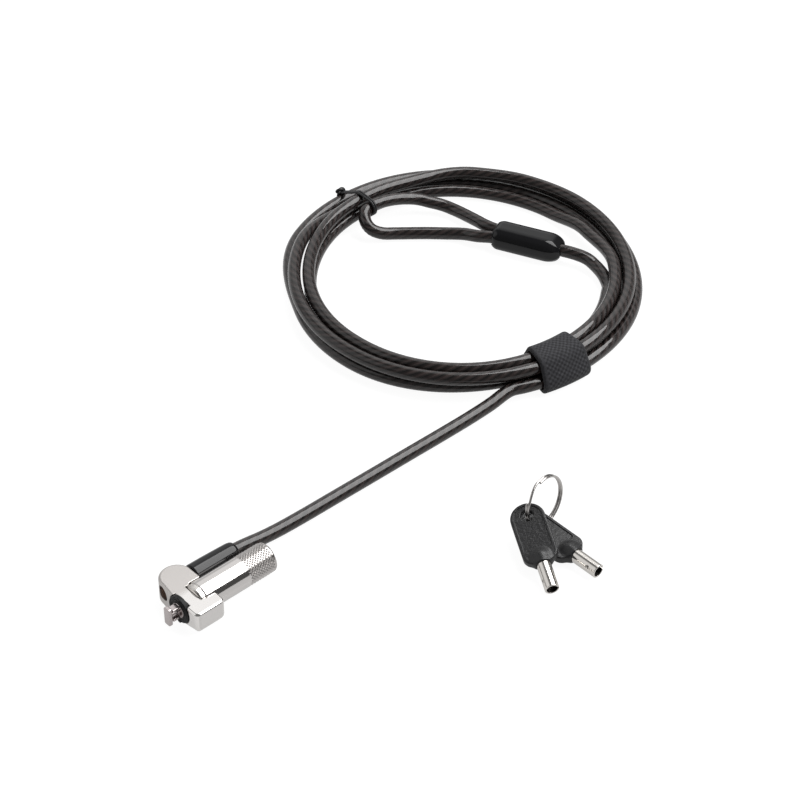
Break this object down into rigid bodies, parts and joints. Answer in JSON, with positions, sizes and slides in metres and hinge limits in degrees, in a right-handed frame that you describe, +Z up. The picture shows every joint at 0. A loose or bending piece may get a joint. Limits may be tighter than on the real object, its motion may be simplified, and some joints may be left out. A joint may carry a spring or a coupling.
{
  "type": "laptop cable lock",
  "caption": "Keyed laptop cable lock: swivelling T-bar lock head on a die-cast frame, jacketed steel cable wound with strap and tie, crimped end loop, and two tubular keys on a split ring.",
  "frame": {"origin": "on the flat underside of the swivel frame, straight below the lock's axis", "axes": "+X along the lock from its nose to its knurled end, +Y from the lock to the cable anchor, +Z up from the table"},
  "size_m": [0.2443, 0.2008, 0.0173],
  "materials": {
    "die_casting": "satin nickel plated zinc casting",
    "barrel_chrome": "polished, diamond knurl at the rear",
    "nickel_steel": "bright nickel plate",
    "spring_steel": "bare steel",
    "cylinder_brass": "machined, slightly dull",
    "crimp_aluminium": "pressed",
    "bumper_rubber": "moulded, semi-matte",
    "moulded_gloss": "high-gloss black moulding",
    "cable_jacket": "glossy black jacket, steel strands showing through as a twist",
    "strap_webbing": "woven hook-and-loop tape",
    "tie_plastic": "thin coated wire",
    "key_plastic": "fine grain, bare recessed panel"
  },
  "bodies": {
    "cable": {"cable_crimp": "cylinder_brass", "strain_sleeve": "moulded_gloss", "cable_lead": "cable_jacket", "cable_coil": "cable_jacket", "cable_tail": "cable_jacket", "cable_eye": "cable_jacket", "loop_ferrule": "moulded_gloss", "loop_crimp": "crimp_aluminium", "cable_strap": "strap_webbing", "cable_tie": "tie_plastic"},
    "swivel": {"swivel_frame": "die_casting"},
    "lock": {"lock_core": "nickel_steel", "lock_barrel": "barrel_chrome", "rubber_bumper": "bumper_rubber", "retaining_ring": "spring_steel", "guide_pegs": "nickel_steel", "stator": "cylinder_brass", "face_bushing": "nickel_steel", "cross_pin": "spring_steel", "driver_pin_1": "spring_steel", "driver_pin_2": "spring_steel", "driver_pin_3": "spring_steel", "driver_pin_4": "spring_steel", "driver_pin_5": "spring_steel", "driver_pin_6": "spring_steel", "driver_pin_7": "spring_steel", "pin_spring_1": "spring_steel", "pin_spring_2": "spring_steel", "pin_spring_3": "spring_steel", "pin_spring_4": "spring_steel", "pin_spring_5": "spring_steel", "pin_spring_6": "spring_steel", "pin_spring_7": "spring_steel"},
    "plug": {"t_bar": "nickel_steel", "rotor": "cylinder_brass", "key_pin_1": "cylinder_brass", "key_pin_2": "cylinder_brass", "key_pin_3": "cylinder_brass", "key_pin_4": "cylinder_brass", "key_pin_5": "cylinder_brass", "key_pin_6": "cylinder_brass", "key_pin_7": "cylinder_brass"},
    "key_ring": {"split_ring": "nickel_steel"},
    "upper_key": {"upper_key_head": "key_plastic", "upper_key_tube": "nickel_steel"},
    "lower_key": {"lower_key_head": "key_plastic", "lower_key_tube": "nickel_steel"}
  },
  "joints": [
    {"name": "cable_spin", "type": "hinge", "parent": "cable", "child": "swivel", "pos_m": [0, 0.00905, 0.0046], "axis": [1, 0, 0], "continuous": true},
    {"name": "head_swivel", "type": "hinge", "parent": "swivel", "child": "lock", "pos_m": [0, 0, 0.0051], "axis": [1, 0, 0], "continuous": true},
    {"name": "key_turn", "type": "hinge", "parent": "lock", "child": "plug", "pos_m": [0, 0, 0.0051], "axis": [1, 0, 0], "range_deg": [0, 90]},
    {"name": "key_set_lift", "type": "slide", "parent": "cable", "child": "key_ring", "axis": [0, 0, 1], "range_m": [0, 0.05]},
    {"name": "upper_key_fan", "type": "hinge", "parent": "key_ring", "child": "upper_key", "pos_m": [0.09613, -0.04267, 0.0079], "axis": [0, 0, 1], "range_deg": [-40, 0]},
    {"name": "lower_key_fan", "type": "hinge", "parent": "key_ring", "child": "lower_key", "pos_m": [0.09853, -0.04293, 0.0034], "axis": [0, 0, 1], "range_deg": [0, 40]}
  ]
}
